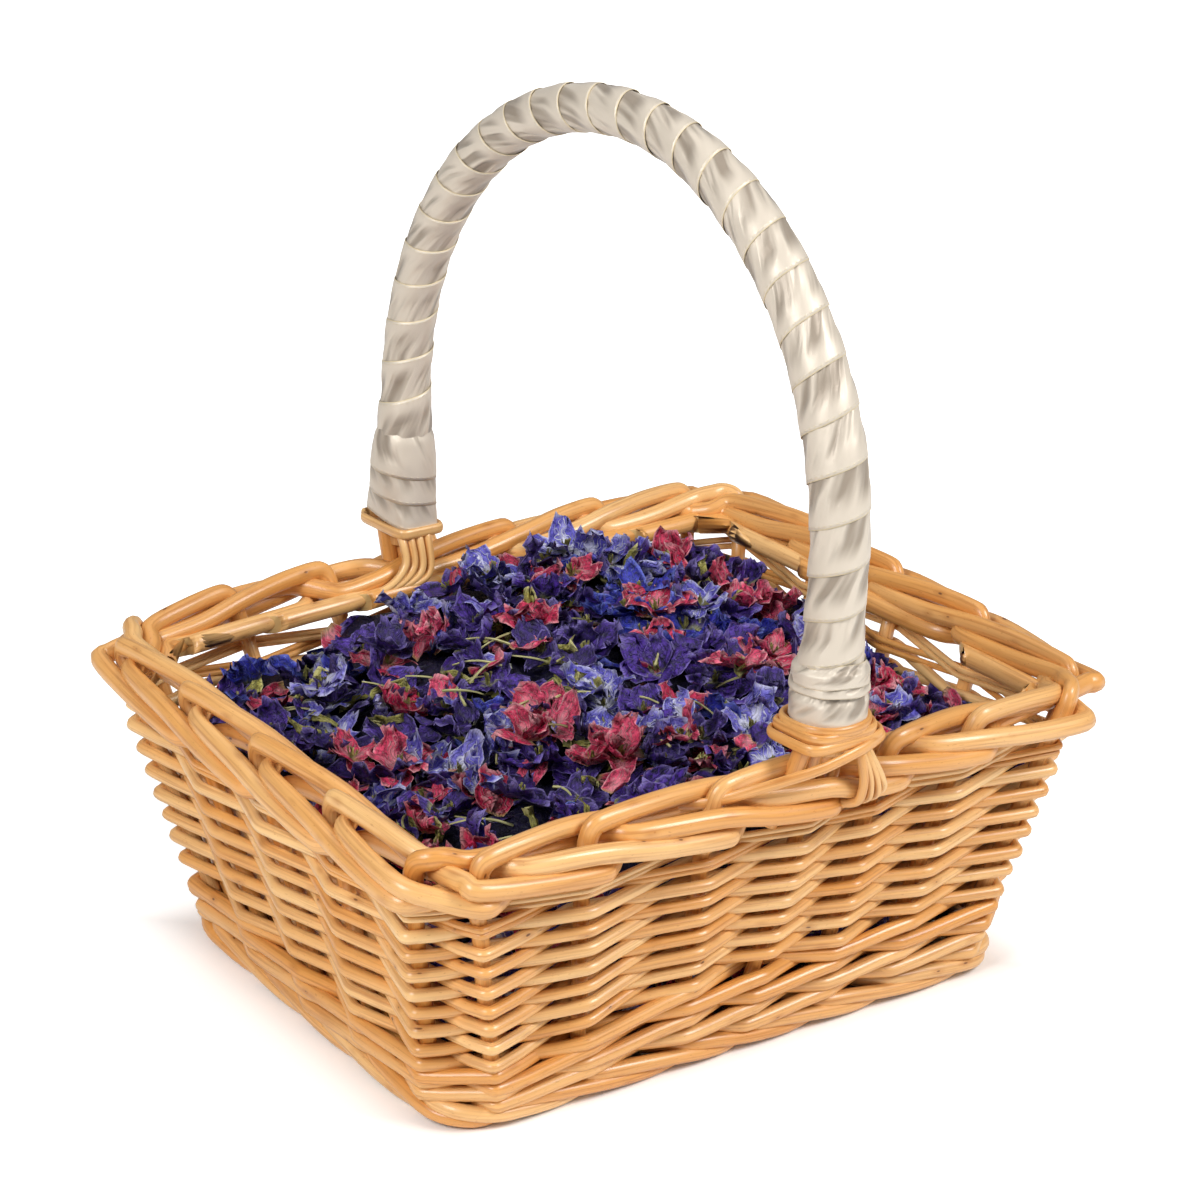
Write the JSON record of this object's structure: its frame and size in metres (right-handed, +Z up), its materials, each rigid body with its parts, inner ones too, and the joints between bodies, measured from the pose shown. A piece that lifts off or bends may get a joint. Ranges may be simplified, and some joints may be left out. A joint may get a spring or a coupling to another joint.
{
  "type": "flower girl basket",
  "caption": "Rectangular flared willow basket with a fixed arch handle wrapped in satin ribbon, a braided border and foot, and a loose fill of dried flower petals.",
  "frame": {"origin": "on the floor, in the middle of the foot", "axes": "+X along the long walls, +Y towards the back long wall, +Z up"},
  "size_m": [0.3124, 0.2879, 0.3435],
  "materials": {
    "willow": "semi-matte buff willow",
    "pale_willow": "semi-matte buff willow",
    "satin": "satin ribbon",
    "petals": "dried petals"
  },
  "bodies": {
    "basket": {"base_sticks": "willow", "base_weavers": "willow", "foot_front": "willow", "foot_right": "willow", "foot_back": "willow", "foot_left": "willow", "wale_rod_1": "willow", "wale_rod_2": "willow", "wale_rod_3": "willow", "wale_rod_4": "willow", "wale_rod_5": "willow", "wale_rod_6": "willow", "corner_posts": "willow", "stakes_front": "willow", "stakes_right": "willow", "stakes_back": "willow", "stakes_left": "willow", "border_front": "willow", "border_right": "willow", "border_back": "willow", "border_left": "willow", "handle_bow": "willow", "weave_course_01": "pale_willow", "weave_course_02": "pale_willow", "weave_course_03": "pale_willow", "weave_course_04": "pale_willow", "weave_course_05": "pale_willow", "weave_course_06": "pale_willow", "weave_course_07": "pale_willow", "weave_course_08": "pale_willow", "weave_course_09": "pale_willow", "weave_course_10": "pale_willow", "weave_course_11": "pale_willow", "weave_course_12": "pale_willow", "weave_course_13": "pale_willow", "weave_course_14": "pale_willow", "binding_front": "pale_willow", "binding_back": "pale_willow", "lashing_front": "pale_willow", "lashing_back": "pale_willow", "ribbon_wrap": "satin", "ribbon_cuff_front": "satin", "ribbon_cuff_back": "satin"},
    "petals": {"petal_fill": "petals"}
  },
  "joints": [
    {"name": "petal_lift", "type": "slide", "parent": "basket", "child": "petals", "axis": [0, 0, 1], "range_m": [0, 0.12]}
  ]
}
